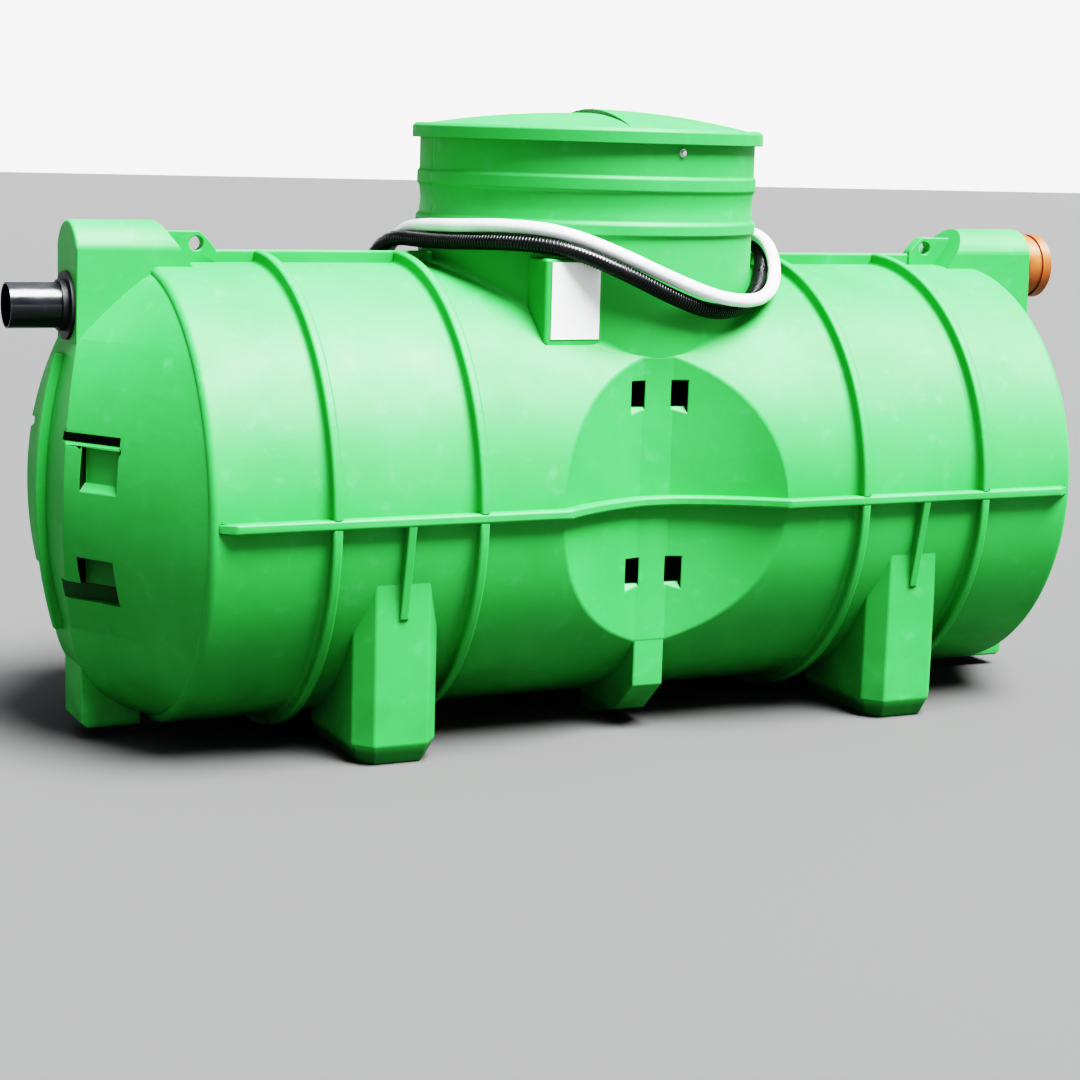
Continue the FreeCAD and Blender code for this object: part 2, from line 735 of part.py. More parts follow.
# Label box in the corner between neck and barrel, with a bare plate on its front
label_box_front = neck_radius - label_box_set_back
label_box_top = axis_z + neck_top_z - label_box_drop
label_box = box(-label_box_left, 0, -label_box_front, 0, axis_z, label_box_top)
label_box = label_box.cut(upright(neck_radius, 0, far + axis_z)).cut(along_x(barrel_radius, -far, far, axis_z))
save("label_box", label_box)
plate_x = -label_box_left + plate_margin
plate_low = axis_z + math.sqrt(barrel_radius ** 2 - label_box_front ** 2) + plate_lift
plate = box(plate_x, plate_x + plate_width, -label_box_front - plate_thickness, -label_box_front,
            plate_low, label_box_top - plate_top_gap)
save("label_plate", plate)

# Corner feet: upright blocks with chamfered corners and a bevelled lower edge, under the barrel
foot_x = 0.5 * (outer_rib_x + inner_rib_x)
foot_front = barrel_radius - foot_set_back
foot_back = foot_front - foot_depth


def foot_outline(inset, z):
    corner_in = 0.4 * inset
    front = -foot_front + inset
    half = foot_half_width - inset
    flat = foot_half_width - foot_corner_x - corner_in
    side_y = -foot_front + foot_corner_y + corner_in
    return [
        Vector(-foot_x - flat, front, z),
        Vector(-foot_x + flat, front, z),
        Vector(-foot_x + half, side_y, z),
        Vector(-foot_x + half, -foot_back, z),
        Vector(-foot_x - half, -foot_back, z),
        Vector(-foot_x - half, side_y, z),
    ]


foot_block = prism(foot_outline(0.0, foot_bevel), Vector(0, 0, axis_z - foot_bevel))
low_points = foot_outline(0.5 * foot_bevel, 0.0)
high_points = foot_outline(0.0, foot_bevel)
low_wire = Part.makePolygon(low_points + [low_points[0]])
high_wire = Part.makePolygon(high_points + [high_points[0]])
foot_base = Part.makeLoft([low_wire, high_wire], True, True)
foot = foot_base.fuse(foot_block).removeSplitter()
foot = foot.cut(along_x(barrel_radius, -far, far, axis_z))
flange_bottom = axis_z - 0.5 * flange_thickness
fin_x = -foot_x - 0.5 * fin_width
fin_points = [
    Vector(fin_x, flange_y, flange_bottom),
    Vector(fin_x, -foot_front - fin_foot_out, axis_z - fin_drop),
    Vector(fin_x, -foot_front + wall, axis_z - fin_drop),
    Vector(fin_x, -foot_front + wall, flange_bottom),
]
fin = prism(fin_points, Vector(fin_width, 0, 0))
fin = fin.cut(along_x(barrel_radius, -far, far, axis_z)).cut(foot_block)
foot = foot.fuse(fin).removeSplitter()
save("foot_front_left", foot)
save("foot_front_right", other_end(foot))
save("foot_back_left", other_side(foot))
save("foot_back_right", other_side(other_end(foot)))

# Centre feet: the waist strips run down into sloping toes
toe_points = [
    Vector(-strip_half_width, -strip_reach, axis_z),
    Vector(-strip_half_width, -strip_reach, rib_height + toe_rise),
    Vector(-strip_half_width, -strip_reach + toe_knee_in, toe_knee_height),
    Vector(-strip_half_width, -strip_reach + toe_heel_in, 0),
    Vector(-strip_half_width, -strip_reach + toe_back_in, 0),
    Vector(-strip_half_width, -strip_reach + toe_back_in, axis_z),
]
toe = prism(toe_points, Vector(2.0 * strip_half_width, 0, 0))
toe = toe.cut(along_x(barrel_radius, -far, far, axis_z))
save("centre_feet", [toe, other_side(toe)])

# End feet, level with the barrel's lowest line, and the low upright rib above them
foot_tip = -barrel_half_length - end_foot_reach
foot_root = -barrel_half_length - end_foot_inner
end_foot_points = [
    Vector(foot_tip, -end_foot_half, axis_z + end_foot_top_z),
    Vector(foot_tip, -end_foot_half, rib_height + end_foot_bevel),
    Vector(foot_tip + end_foot_bevel, -end_foot_half, rib_height),
    Vector(foot_root, -end_foot_half, rib_height),
    Vector(foot_root, -end_foot_half, axis_z + end_foot_top_z),
]
end_foot = prism(end_foot_points, Vector(0, 2.0 * end_foot_half, 0)).cut(left_end_outer)
band_curve = Part.Arc(
    Vector(-barrel_half_length - end_upper_depth, 0, axis_z + end_crown_z + end_lens_half_height),
    Vector(-barrel_half_length - end_depth, 0, axis_z + end_crown_z),
    Vector(-barrel_half_length - end_lower_depth, 0, axis_z + end_crown_z - end_lens_half_height),
).toShape().Curve
rib_start = Vector(band_curve.Center.x, -0.5 * end_rib_width, band_curve.Center.z)
end_rib = Part.makeCylinder(band_curve.Radius + end_rib_height, end_rib_width, rib_start, Vector(0, 1, 0))
rib_span = box(-far, -barrel_half_length, -end_rib_width, end_rib_width, axis_z + end_rib_bottom_z,
               axis_z + end_rib_top_z)
end_rib = end_rib.common(rib_span).cut(left_end_outer)
save("end_foot_left", [end_foot, end_rib])
save("end_foot_right", [other_end(end_foot), other_end(end_rib)])


# Hose routes: points round the neck by angle, gap from its wall and drop below its top
def around(turn, gap, drop):
    reach = neck_radius + gap
    angle = math.radians(turn)
    return Vector(reach * math.cos(angle), reach * math.sin(angle), axis_z + neck_top_z - drop)


# Point of a hose that lies on the back of the barrel
def lying(radius, gap, y):
    rest = barrel_radius + radius + hose_rest_clearance
    return Vector(-neck_radius - gap, y, axis_z + math.sqrt(rest * rest - y * y))


# Hoses: straight runs joined by tangent arcs, both from glands at the right rear of the neck
def hose(route, radius, name):
    edges = []
    start = route[0]
    for index in range(1, len(route) - 1):
        here = route[index]
        back = route[index - 1].sub(here)
        ahead = route[index + 1].sub(here)
        tangent = 0.45 * min(back.Length, ahead.Length)
        turn = math.pi - back.getAngle(ahead)
        bend = tangent / math.tan(0.5 * turn)
        back.normalize()
        ahead.normalize()
        first = here.add(Vector(back).multiply(tangent))
        last = here.add(Vector(ahead).multiply(tangent))
        inward = back.add(ahead)
        inward.normalize()
        middle = here.add(inward.multiply(bend / math.cos(0.5 * turn) - bend))
        edges.append(Part.LineSegment(start, first).toShape())
        edges.append(Part.Arc(first, middle, last).toShape())
        start = last
        print(name, index, "turn", round(math.degrees(turn)), "radius", round(bend))
    edges.append(Part.LineSegment(start, route[-1]).toShape())
    path = Part.Wire(edges)
    heading = route[1].sub(route[0])
    section = Part.Wire(Part.Circle(route[0], heading, radius).toShape())
    tube = path.makePipeShell([section], True, False)
    ratio = tube.Volume / (math.pi * radius * radius * path.Length)
    print(name, "length", round(path.Length), "volume ratio", round(ratio, 3))
    for point in route:
        print(name, "point", round(point.x + centre_shift, 1), round(point.y, 1), round(point.z, 1))
    return tube


air_route = [
    around(20.0, 22.0, 20.0),
    around(4.0, 48.0, 8.0),
    around(-9.0, 50.0, 14.0),
    around(-18.5, 48.0, 53.0),
    around(-28.7, 43.5, 110.0),
    around(-40.3, 45.5, 143.0),
    around(-54.6, 35.0, 166.0),
    around(-71.6, 34.5, 154.0),
    around(-88.8, 34.0, 106.0),
    around(-105.9, 33.5, 44.0),
    around(-123.4, 33.0, -9.0),
    around(-141.3, 34.0, -18.0),
    around(-159.6, 34.0, -10.0),
    around(-177.6, 34.5, -6.0),
    around(-193.3, 39.0, 30.0),
    lying(air_hose_radius, 18.0, 250.0),
    lying(air_hose_radius, 12.0, 330.0),
]
conduit_route = [
    around(33.0, 26.0, 76.0),
    around(14.0, 69.0, 47.0),
    around(-1.5, 76.0, 34.0),
    around(-13.5, 74.5, 64.0),
    around(-24.6, 83.0, 106.0),
    around(-37.9, 80.0, 160.0),
    around(-52.8, 54.0, 203.0),
    around(-70.5, 40.5, 195.0),
    around(-88.2, 40.0, 149.0),
    around(-105.0, 48.0, 84.0),
    around(-122.0, 52.0, 30.0),
    around(-139.5, 43.0, 22.0),
    around(-157.3, 39.0, 29.0),
    around(-175.3, 47.5, 32.0),
    around(-190.1, 71.0, 56.0),
    lying(conduit_radius, 64.0, 230.0),
    lying(conduit_radius, 60.0, 320.0),
]


# Gland stubs that carry the hoses out of the neck, in line with each hose's first run
def gland(route, radius):
    heading = route[0].sub(route[1])
    stub = Part.makeCylinder(radius + gland_lip, gland_stub, route[0], heading)
    return stub.cut(upright(neck_radius, 0, far + axis_z))


save("hose_glands", [gland(air_route, air_hose_radius), gland(conduit_route, conduit_radius)])
save("air_hose", hose(air_route, air_hose_radius, "air_hose"))
save("cable_conduit", hose(conduit_route, conduit_radius, "cable_conduit"))
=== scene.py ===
import math

import bmesh
import bpy
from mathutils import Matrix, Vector
from mathutils.bvhtree import BVHTree


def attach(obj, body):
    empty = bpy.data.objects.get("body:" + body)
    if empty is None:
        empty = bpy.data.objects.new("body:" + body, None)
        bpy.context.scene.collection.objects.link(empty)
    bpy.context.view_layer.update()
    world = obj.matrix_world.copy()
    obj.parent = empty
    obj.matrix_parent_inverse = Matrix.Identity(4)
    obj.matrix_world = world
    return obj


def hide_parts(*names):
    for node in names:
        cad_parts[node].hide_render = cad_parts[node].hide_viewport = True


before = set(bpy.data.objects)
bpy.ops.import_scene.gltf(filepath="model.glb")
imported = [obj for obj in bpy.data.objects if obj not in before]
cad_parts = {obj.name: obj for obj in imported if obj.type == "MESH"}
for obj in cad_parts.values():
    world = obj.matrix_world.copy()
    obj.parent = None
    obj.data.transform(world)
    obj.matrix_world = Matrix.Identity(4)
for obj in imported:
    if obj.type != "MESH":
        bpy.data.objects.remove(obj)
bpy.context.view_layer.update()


# Barrel walls
# The tank wall is one rotationally moulded shell of green polyethylene with a fine orange-peel
# The mould leaves it slightly cloudy, handling scuffs it, soil marks it, and painted shade darkens its
# soles.
moulded_colour = (0.02, 0.29, 0.05)
cloud_dark = (0.036, 0.262, 0.054)
cloud_light = (0.047, 0.305, 0.069)
scuff_colour = (0.085, 0.330, 0.125)
soil_colour = (0.030, 0.105, 0.034)
sole_shade_colour = (0.010, 0.050, 0.014)
# Painted shade for hollows and undersides, darker the more closed in a face is.
recess_shade_colour = (0.002, 0.014, 0.003)
soil_height = 0.30
sole_shade_full_height = 0.030
sole_shade_end_height = 0.045


def add_node(tree, kind, **values):
    node = tree.nodes.new(kind)
    for name, value in values.items():
        if hasattr(node, name):
            setattr(node, name, value)
        else:
            node.inputs[name].default_value = value
    return node


def plain_material(name, colour, roughness):
    material = bpy.data.materials.new(name)
    material.use_nodes = True
    shader = material.node_tree.nodes["Principled BSDF"]
    shader.inputs["Base Color"].default_value = (*colour, 1.0)
    shader.inputs["Roughness"].default_value = roughness
    coords = add_node(material.node_tree, "ShaderNodeTexCoord").outputs["Object"]
    return material, material.node_tree, shader, coords


def noise_on(tree, coords, scale, detail):
    noise = add_node(tree, "ShaderNodeTexNoise", Scale=scale, Detail=detail)
    tree.links.new(coords, noise.inputs["Vector"])
    return noise.outputs["Fac"]


def ramp_on(tree, factor, stops):
    ramp = add_node(tree, "ShaderNodeValToRGB")
    tree.links.new(factor, ramp.inputs["Fac"])
    elements = ramp.color_ramp.elements
    while len(elements) < len(stops):
        elements.new(0.5)
    for element, (place, colour) in zip(elements, stops):
        element.position = place
        element.color = (*colour, 1.0)
    return ramp.outputs["Color"]


def grey_ramp(tree, factor, low, high, low_value, high_value):
    return ramp_on(tree, factor, [(low, (low_value,) * 3), (high, (high_value,) * 3)])


def mix_colours(tree, factor, first, second, way="MIX"):
    mix = add_node(tree, "ShaderNodeMix", data_type="RGBA", blend_type=way)
    sockets = {socket.identifier: socket for socket in mix.inputs}
    for key, value in (("Factor_Float", factor), ("A_Color", first), ("B_Color", second)):
        if isinstance(value, bpy.types.NodeSocket):
            tree.links.new(value, sockets[key])
        elif isinstance(value, tuple):
            sockets[key].default_value = (*value, 1.0)
        else:
            sockets[key].default_value = value
    return next(socket for socket in mix.outputs if socket.identifier == "Result_Color")


def bump_from(tree, height, strength, distance, below=None):
    bump = add_node(tree, "ShaderNodeBump", Strength=strength, Distance=distance)
    tree.links.new(height, bump.inputs["Height"])
    if below is not None:
        tree.links.new(below, bump.inputs["Normal"])
    return bump.outputs["Normal"]


def moulded_green():
    material, tree, shader, coords = plain_material("moulded_green", moulded_colour, 0.5)
    cloud = noise_on(tree, coords, 2.6, 4.0)
    colour = ramp_on(tree, cloud, [(0.36, cloud_dark), (0.64, cloud_light)])
    scuff = grey_ramp(tree, noise_on(tree, coords, 21.0, 9.0), 0.60, 0.72, 0.0, 0.30)
    colour = mix_colours(tree, scuff, colour, scuff_colour)
    height = add_node(tree, "ShaderNodeSeparateXYZ")
    tree.links.new(coords, height.inputs["Vector"])
    near_floor = grey_ramp(tree, height.outputs["Z"], 0.0, soil_height, 0.55, 0.0)
    patches = grey_ramp(tree, noise_on(tree, coords, 9.0, 8.0), 0.45, 0.7, 0.0, 1.0)
    soil = mix_colours(tree, 1.0, near_floor, patches, "MULTIPLY")
    colour = mix_colours(tree, soil, colour, soil_colour)
    # Painted shade: the lowest few centimetres, under the soles, are darkened.
    sole_shade = grey_ramp(tree, height.outputs["Z"], sole_shade_full_height, sole_shade_end_height, 0.6, 0.0)
    colour = mix_colours(tree, sole_shade, colour, sole_shade_colour)
    # Painted shade: faces in hollows and on undersides are darkened by how closed in they are.
    recess_shade = add_node(tree, "ShaderNodeAttribute", attribute_name="recess_shade").outputs["Fac"]
    colour = mix_colours(tree, recess_shade, colour, recess_shade_colour)
    tree.links.new(colour, shader.inputs["Base Color"])
    gloss = grey_ramp(tree, noise_on(tree, coords, 6.0, 5.0), 0.3, 0.7, 0.50, 0.62)
    tree.links.new(gloss, shader.inputs["Roughness"])
    shader.inputs["Specular IOR Level"].default_value = 0.26
    ripple = bump_from(tree, noise_on(tree, coords, 38.0, 2.0), 0.10, 0.004)
    grain = bump_from(tree, noise_on(tree, coords, 330.0, 2.0), 0.12, 0.0015, ripple)
    tree.links.new(grain, shader.inputs["Normal"])
    return material


def finish_node(name, material):
    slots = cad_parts[name].data.materials
    slots.clear()
    slots.append(material)


green = moulded_green()
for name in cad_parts:
    finish_node(name, green)


# Waist
# Both long sides are drawn in by hollow cheeks to an upright strip, flush with the neck, with strap
# tunnels behind it. It is part of the same moulding, so its rims are a few millimetres round.
axis_height = 0.600
middle_x = 0.0335
barrel_radius = 0.570
neck_radius = 0.440
neck_hole_radius = 0.435
inner_rib_x = 0.538
strip_half_width = 0.043
waist_half_width = 0.316
waist_bow = 0.0145
mouth_inner_x = 0.038
mouth_outer_x = 0.080
sill_y = -0.433
bridge_y = -0.426
tunnel_back_y = -0.390
tunnel_levels = ((0.2375, 0.3025), (-0.2125, -0.1475))
rim_round = 0.005
rim_turn = 20.0
rim_fade_start = 0.02
rim_fade_length = 0.08
mouth_share = 0.6
cheek_steps = 16
wall_steps = 14
waist_merge_distance = 0.00002
merge_distance = 0.00003
touch_distance = 0.0012
flat_turn = 0.3
sharpest_turn = 140.0
ray_count = 40
ray_start = 0.002
ray_reach = 0.16
golden_turn = math.pi * (3.0 - math.sqrt(5.0))
shade_fade = 0.25
sill_lean = 0.3
underside_extra = 0.2
underside_most = 0.95


def all_walls():
    corners, triangles, owners = [], [], []
    for name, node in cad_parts.items():
        first = len(corners)
        corners.extend(node.matrix_world @ vertex.co for vertex in node.data.vertices)
        node.data.calc_loop_triangles()
        for triangle in node.data.loop_triangles:
            triangles.append([first + corner for corner in triangle.vertices])
            owners.append(name)
    return BVHTree.FromPolygons(corners, triangles), owners


walls, wall_owners = all_walls()


def lies_against_another(face, name):
    near = walls.find_nearest_range(face.calc_center_median(), touch_distance)
    others = [hit for hit in near if wall_owners[hit[2]] not in (name, "label_plate")]
    return any(hit[1].dot(face.normal) < -0.6 for hit in others)


def piece_from(name, shape, material):
    mesh = bpy.data.meshes.new(name)
    shape.to_mesh(mesh)
    shape.free()
    mesh.materials.append(material)
    return bpy.data.objects.new(name, mesh)


def show(piece, replaced=()):
    bpy.context.collection.objects.link(piece)
    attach(piece, "root")
    if replaced:
        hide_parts(*replaced)


def openness(face, names):
    start = face.calc_center_median() + face.normal * ray_start
    turn = face.normal.to_track_quat("Z", "Y")
    free = 0
    for number in range(ray_count):
        height = math.sqrt((number + 0.5) / ray_count)
        angle = number * golden_turn
        out = math.sqrt(1.0 - height * height)
        ray = turn @ Vector((out * math.cos(angle), out * math.sin(angle), height))
        struck = walls.ray_cast(start, ray, ray_reach)[2]
        free += struck is None or wall_owners[struck] not in names
    return free / ray_count


# Paints shade: faces that rays find closed in by their own piece get a darkening weight.
def shade_recesses(shape, names, dark_below, lit_up_to):
    recess_shade = shape.faces.layers.float.new("recess_shade")
    for face in shape.faces:
        lean = face.normal.z
        if dark_below and not sill_lean < lean < lit_up_to:
            threshold = dark_below
            if lean < -sill_lean:
                threshold = min(dark_below + underside_extra, underside_most)
            face[recess_shade] = min(max((threshold - openness(face, names)) / shade_fade, 0.0), 1.0)


def show_moulded(name, shape, width, segments, least_turn, replaced):
    for face in shape.faces:
        face.smooth = True
    piece = piece_from(name, shape, green)
    piece.data.set_sharp_from_angle(angle=math.radians(least_turn))
    bevel = piece.modifiers.new("moulded_edge", "BEVEL")
    bevel.limit_method = "WEIGHT"
    bevel.width = width
    bevel.segments = segments
    bevel.use_clamp_overlap = False
    shading = piece.modifiers.new("even_shading", "WEIGHTED_NORMAL")
    shading.keep_sharp = True
    show(piece, replaced)


def join_flats(shape):
    inner_edges = [edge for edge in shape.edges if edge.calc_face_angle(1.0) < math.radians(flat_turn)]
    bmesh.ops.dissolve_edges(shape, edges=inner_edges, use_verts=True)
    shape.normal_update()


def rounded_copy(
    name, width, least_turn, segments=3, least_x=0.0, dark_below=0.0, lit_up_to=0.9, joins_flats=False
):
    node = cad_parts[name]
    shape = bmesh.new()
    shape.from_mesh(node.data)
    shape.transform(node.matrix_world)
    bmesh.ops.remove_doubles(shape, verts=shape.verts, dist=merge_distance)
    shape.normal_update()
    if joins_flats:
        join_flats(shape)
    hidden = {face for face in shape.faces if lies_against_another(face, name)}
    rounding = shape.edges.layers.float.new("bevel_weight_edge")
    for edge in shape.edges:
        if len(edge.link_faces) != 2 or hidden.intersection(edge.link_faces):
            continue
        beyond = min(abs(vertex.co.x - middle_x) for vertex in edge.verts) >= least_x
        if beyond and math.radians(least_turn) < edge.calc_face_angle() < math.radians(sharpest_turn):
            edge[rounding] = 1.0
    shade_recesses(shape, [name], dark_below, lit_up_to)
    show_moulded(name + "_moulded", shape, width, segments, least_turn, [name])


def rim_height(y):
    return math.sqrt(max(barrel_radius**2 - y * y, 0.0))


def neck_hole_reach(offset):
    return math.sqrt(neck_hole_radius**2 - offset * offset)


class WaistSide:
    """One long side of the waist, built from upright stations along its cheeks."""

    def __init__(self):
        self.shape = bmesh.new()
        self.corners = {}
        run = waist_half_width - strip_half_width
        depth = barrel_radius - neck_radius
        chord = math.hypot(run, depth)
        self.cheek_radius = (0.25 * chord**2 + waist_bow**2) / (2.0 * waist_bow)
        lift = (self.cheek_radius - waist_bow) / chord
        self.cheek_x = 0.5 * (strip_half_width + waist_half_width) - lift * depth
        self.cheek_y = -0.5 * (neck_radius + barrel_radius) - lift * run
        self.columns = []
        for x, y in self.stations():
            self.columns.append((x, y, self.heights(x, y)))

    def stations(self):
        outer_y = self.cheek_y + math.sqrt(self.cheek_radius**2 - (mouth_outer_x - self.cheek_x) ** 2)
        yield mouth_inner_x, -neck_radius
        yield strip_half_width, -neck_radius
        yield mouth_outer_x, outer_y
        last_turn = math.acos(-outer_y / barrel_radius)
        for step in range(1, cheek_steps + 1):
            y = -barrel_radius * math.cos(last_turn * (1.0 - step / cheek_steps))
            yield self.cheek_x + math.sqrt(self.cheek_radius**2 - (y - self.cheek_y) ** 2), y

    def heights(self, x, y):
        rim = rim_height(y)
        if x <= mouth_outer_x:
            (upper_low, upper_high), (lower_low, lower_high) = tunnel_levels
            drop = sill_y - y
            return [rim, upper_high, upper_low - drop, 0.0, lower_high, lower_low - drop, -rim]
        mouth_heights = self.columns[2][2]
        return [height * rim / mouth_heights[0] for height in mouth_heights]

    def corner(self, x, y, z):
        key = (round(x, 6), round(y, 6), round(z, 6))
        if key not in self.corners:
            self.corners[key] = self.shape.verts.new((middle_x + x, y, axis_height + z))
        return self.corners[key]

    def panel(self, *points):
        corners = list(dict.fromkeys(self.corner(*point) for point in points))
        if len(corners) > 2:
            self.shape.faces.new(corners)

    def both(self, *points):
        self.panel(*points)
        self.panel(*[(-x, y, z) for x, y, z in points])

    def strip_and_cheeks(self):
        for (x, y, tops), (far_x, far_y, far_tops) in zip(self.columns, self.columns[1:]):
            for row in range(6):
                if x < mouth_outer_x and row in (1, 4):
                    continue
                self.both(
                    (x, y, tops[row]), (far_x, far_y, far_tops[row]),
                    (far_x, far_y, far_tops[row + 1]), (x, y, tops[row + 1]),
                )
            if x >= strip_half_width:
                for row in (0, 6):
                    self.both(
                        (x, y, tops[row]), (inner_rib_x, y, tops[row]),
                        (inner_rib_x, far_y, far_tops[row]), (far_x, far_y, far_tops[row]),
                    )
        x, y, tops = self.columns[0]
        for top, bottom in zip(tops, tops[1:]):
            self.panel((-x, y, top), (x, y, top), (x, y, bottom), (-x, y, bottom))

    def tunnel(self, low, high):
        inner, inner_y, inner_tops = self.columns[0]
        crease, crease_y, crease_tops = self.columns[1]
        outer, outer_y, outer_tops = self.columns[2]
        sill = inner_tops.index(high) + 1
        inner_lip = (inner, inner_y, inner_tops[sill])
        crease_lip = (crease, crease_y, crease_tops[sill])
        outer_lip = (outer, outer_y, outer_tops[sill])
        inner_top = (inner, inner_y, high)
        outer_top = (outer, outer_y, high)
        inner_sill = (inner, sill_y, low)
        outer_sill = (outer, sill_y, low)
        bridge_low = (inner, bridge_y, low)
        bridge_high = (inner, bridge_y, high)
        back_low = (inner, tunnel_back_y, low)
        back_high = (inner, tunnel_back_y, high)
        outer_back_low = (outer, tunnel_back_y, low)
        outer_back_high = (outer, tunnel_back_y, high)
        self.both(inner_top, (crease, crease_y, high), outer_top, outer_back_high, back_high, bridge_high)
        self.both(outer_top, outer_lip, outer_sill, outer_back_low, outer_back_high)
        self.both(inner_lip, crease_lip, outer_lip, outer_sill, inner_sill)
        self.both(inner_sill, outer_sill, outer_back_low, back_low, bridge_low)
        self.both(inner_top, inner_lip, inner_sill, bridge_low, bridge_high)
        self.both(back_low, outer_back_low, outer_back_high, back_high)
        for start, end in (
            (bridge_low, bridge_high), (bridge_low, back_low),
            (bridge_high, back_high), (back_low, back_high),
        ):
            self.panel((-inner, *start[1:]), start, end, (-inner, *end[1:]))

    def top_and_bottom(self):
        first_turn = math.acos(neck_hole_reach(strip_half_width) / barrel_radius)
        turn_step = (0.5 * math.pi - first_turn) / wall_steps
        lines = [-neck_radius]
        for step in range(wall_steps + 1):
            lines.append(-barrel_radius * math.cos(first_turn + turn_step * step))
        across = (
            -inner_rib_x, -strip_half_width, -mouth_inner_x, mouth_inner_x, strip_half_width, inner_rib_x,
        )
        for number, (y, next_y) in enumerate(zip(lines, lines[1:])):
            z = rim_height(y)
            next_z = rim_height(next_y)
            for x, next_x in zip(across, across[1:]):
                self.panel((x, y, -z), (next_x, y, -z), (next_x, next_y, -next_z), (x, next_y, -next_z))
                if number == 0:
                    self.panel((x, y, z), (next_x, y, z), (next_x, next_y, next_z), (x, next_y, next_z))
            if number > 0:
                self.both(
                    (neck_hole_reach(y), y, z), (inner_rib_x, y, z),
                    (inner_rib_x, next_y, next_z), (neck_hole_reach(next_y), next_y, next_z),
                )

    def face_outwards(self):
        bmesh.ops.remove_doubles(self.shape, verts=self.shape.verts, dist=waist_merge_distance)
        bmesh.ops.recalc_face_normals(self.shape, faces=self.shape.faces)
        strip_middle = Vector((middle_x, -neck_radius, axis_height + 0.1))
        strip_face = min(
            self.shape.faces, key=lambda face: (face.calc_center_median() - strip_middle).length
        )
        if strip_face.normal.y > 0:
            bmesh.ops.reverse_faces(self.shape, faces=self.shape.faces)

    def turn_to_back(self):
        bmesh.ops.scale(self.shape, vec=(1.0, -1.0, 1.0), verts=self.shape.verts)
        bmesh.ops.reverse_faces(self.shape, faces=self.shape.faces)

    def round_rims(self):
        self.shape.normal_update()
        rounding = self.shape.edges.layers.float.new("bevel_weight_edge")
        for edge in self.shape.edges:
            if len(edge.link_faces) != 2 or edge.calc_face_angle() <= math.radians(rim_turn):
                continue
            rise = abs(0.5 * (edge.verts[0].co.z + edge.verts[1].co.z) - axis_height)
            edge[rounding] = min(max((rise - rim_fade_start) / rim_fade_length, 0.0), 1.0)
            if max(abs(vertex.co.x - middle_x) for vertex in edge.verts) < mouth_outer_x + 0.001:
                edge[rounding] = mouth_share


for place in ("front", "back"):
    waist = WaistSide()
    waist.strip_and_cheeks()
    for low, high in tunnel_levels:
        waist.tunnel(low, high)
    waist.top_and_bottom()
    waist.face_outwards()
    if place == "back":
        waist.turn_to_back()
    waist.round_rims()
    replaced = [f"waist_upper_{place}", f"waist_lower_{place}"]
    shade_recesses(waist.shape, replaced, 0.6, 0.9)
    show_moulded(f"waist_{place}_moulded", waist.shape, rim_round, 3, 12.0, replaced)


# Ends
# Each end is moulded with the barrel: two curved cheeks, a band down the middle that is widest at
# its crown, and stepped hand pockets in the cheeks.
end_rim_x = 1.245
for side in ("left", "right"):
    rounded_copy(
        f"{side}_end", 0.0022, 16.0, least_x=end_rim_x, dark_below=0.96, lit_up_to=1.1, joins_flats=True
    )


# Ribs, mid flange and top spine
# The wall folds out into four hoop ribs, a flange along each side and a spine on top. Their crests
# are round, and small hollow curves join the hoops to the wall.
crest_round = 0.006
crest_turn = 30.0
outer_rib_x = 0.910
rib_half_width = 0.012
rib_root_radius = 0.009
root_steps = 5
hoop_steps = 128

for number in range(1, 5):
    rounded_copy(f"hoop_rib_{number}", crest_round, crest_turn)
for name in ("mid_flange_front", "mid_flange_back", "top_spine_left", "top_spine_right"):
    rounded_copy(name, crest_round, crest_turn)


def root_profile(shape, corner, along_wall, up_rib, size):
    points = []
    for step in range(root_steps + 1):
        turn = 0.5 * math.pi * step / root_steps
        reach = along_wall * (1.0 - math.sin(turn)) + up_rib * (1.0 - math.cos(turn))
        points.append(shape.verts.new(corner + reach * size))
    return points


def face_from_axis(shape):
    bmesh.ops.recalc_face_normals(shape, faces=shape.faces)
    for face in shape.faces:
        face.smooth = True
        centre = face.calc_center_median()
        if face.normal.dot(Vector((0.0, centre.y, centre.z - axis_height))) < 0:
            face.normal_flip()


def rib_roots():
    shape = bmesh.new()
    for rib_x in (-outer_rib_x, -inner_rib_x, inner_rib_x, outer_rib_x):
        for way in (-1.0, 1.0):
            corner = Vector((middle_x + rib_x + way * rib_half_width, 0.0, axis_height + barrel_radius))
            points = root_profile(shape, corner, Vector((way, 0, 0)), Vector((0, 0, 1)), rib_root_radius)
            edges = [shape.edges.new(pair) for pair in zip(points, points[1:])]
            bmesh.ops.spin(
                shape, geom=points + edges, cent=(0, 0, axis_height), axis=(1, 0, 0),
                angle=math.tau, steps=hoop_steps, use_merge=True,
            )
    face_from_axis(shape)
    show(piece_from("rib_roots", shape, green))


rib_roots()


# Pipe housings and lifting lugs
# Arched boxes moulded on top of both ends carry the pipes. A thick drilled lug of the same
# polyethylene stands beside each, towards the spine.
for side in ("outlet", "inlet"):
    rounded_copy(f"{side}_housing", 0.006, 16.0, joins_flats=True)
rounded_copy("lifting_lugs", 0.0025, 40.0)


# Outlet pipe and seal
# A stub of extruded black drain pipe, polished by its die, is pushed through the housing in a soft
# black rubber seal.
pipe_colour = (0.012, 0.013, 0.015)
pipe_clean = (0.010, 0.011, 0.013)
pipe_dusty = (0.045, 0.047, 0.050)


